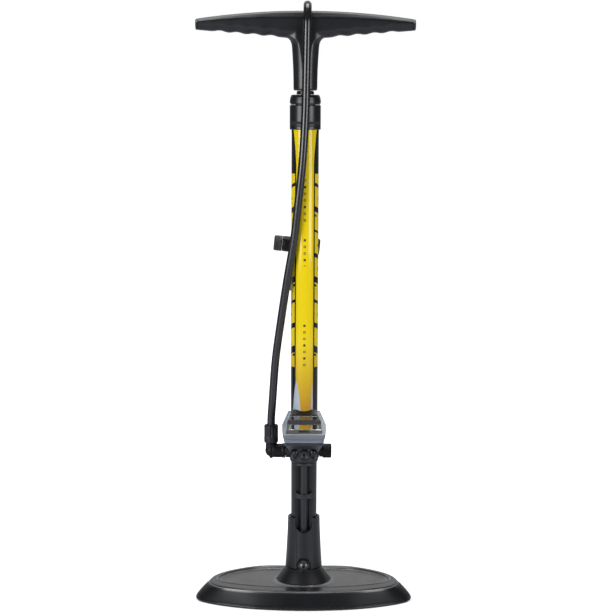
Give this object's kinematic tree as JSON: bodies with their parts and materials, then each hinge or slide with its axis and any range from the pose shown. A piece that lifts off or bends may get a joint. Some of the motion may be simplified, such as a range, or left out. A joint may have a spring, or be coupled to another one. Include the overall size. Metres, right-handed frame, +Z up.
{
  "type": "floor bike pump",
  "caption": "Upright floor pump with a T handle, sliding rod, painted barrel, tilted digital gauge, oval steel foot, draped hose and a lever head parked behind the barrel.",
  "frame": {"origin": "on the floor, under the pump axis, at the centre of the bounding box's bottom face", "axes": "+Z up along the pump rod, +X along the handle to the right seen from the gauge, -Y towards the gauge side"},
  "size_m": [0.27, 0.1378, 0.749],
  "materials": {
    "sheet_black": "satin black powder-coated stamped steel",
    "moulded_black": "satin charcoal-black moulded plastic",
    "soft_black": "matt black moulded plastic",
    "barrel_paint": "gloss yellow and black painted steel tube",
    "gauge_silver": "fine-textured silver-grey plastic",
    "dark_grey": "matt dark grey plastic",
    "bezel_gloss": "polished smoke-black plastic",
    "gauge_lens": "polished clear-over-black lens",
    "lcd": "grey liquid crystal display",
    "board": "green circuit laminate",
    "steel": "bright zinc-plated and ground steel",
    "black_steel": "blackened steel",
    "brass": "turned brass",
    "rubber": "black rubber with a satin skin"
  },
  "bodies": {
    "pump_body": {"base_plate": "sheet_black", "socket_sleeve": "moulded_black", "column": "moulded_black", "hub": "moulded_black", "hose_nut": "moulded_black", "barrel_collar": "moulded_black", "barrel_cap": "moulded_black", "hose_elbow": "soft_black", "port_plug": "soft_black", "rod_guide": "soft_black", "head_dock": "soft_black", "head_body": "soft_black", "schrader_cap": "soft_black", "barrel": "barrel_paint", "gauge_housing": "gauge_silver", "gauge_underside": "dark_grey", "presta_cap": "dark_grey", "gauge_bezel": "bezel_gloss", "gauge_lens": "gauge_lens", "lcd_panel": "lcd", "circuit_board": "board", "base_washer": "steel", "base_bolt": "steel", "check_valve_spring": "steel", "pressure_sensor": "steel", "coin_cell": "steel", "lever_pin": "steel", "clamp_bolt": "black_steel", "hub_screw": "black_steel", "check_valve_seat": "brass", "barrel_seal": "rubber", "elbow_seal": "rubber", "plug_seal": "rubber", "rod_wiper": "rubber", "rod_bumper": "rubber", "hose": "rubber", "presta_grommet": "rubber", "schrader_grommet": "rubber"},
    "handle_assembly": {"handle": "moulded_black", "handle_end_plug_left": "moulded_black", "handle_end_plug_right": "moulded_black", "handle_bolt": "steel", "piston_rod": "steel", "piston_head": "dark_grey", "piston_seal": "rubber", "piston_nut": "steel"},
    "valve_poppet": {"check_valve_poppet": "brass"},
    "gauge_button": {"mode_button": "soft_black"},
    "lever": {"head_lever": "gauge_silver"},
    "plunger": {"head_plunger": "dark_grey"},
    "swivel": {"hose_swivel": "soft_black"}
  },
  "joints": [
    {"name": "pump_stroke", "type": "slide", "parent": "pump_body", "child": "handle_assembly", "axis": [0, 0, 1], "range_m": [0, 0.36], "deforming": ["hose"]},
    {"name": "check_valve_lift", "type": "slide", "parent": "pump_body", "child": "valve_poppet", "axis": [0, 0, -1], "range_m": [0, 0.0015], "deforming": ["check_valve_spring"]},
    {"name": "mode_button_press", "type": "slide", "parent": "pump_body", "child": "gauge_button", "axis": [0, 0.5373, -0.8434], "range_m": [0, 0.001]},
    {"name": "head_lever_turn", "type": "hinge", "parent": "pump_body", "child": "lever", "pos_m": [-0.01119, 0.031, 0.43147], "axis": [0, 1, 0], "range_deg": [0, 80]},
    {"name": "head_plunger_slide", "type": "slide", "parent": "pump_body", "child": "plunger", "axis": [0.9951, 0, -0.0993], "range_m": [0, 0.003]},
    {"name": "hose_swivel_turn", "type": "hinge", "parent": "pump_body", "child": "swivel", "pos_m": [-0.00751, 0.031, 0.46829], "axis": [0.0993, 0, 0.9951], "continuous": true}
  ],
  "couplings": [
    {"joint": "head_plunger_slide", "follows": "head_lever_turn", "m_per_rad": 0.0021}
  ]
}
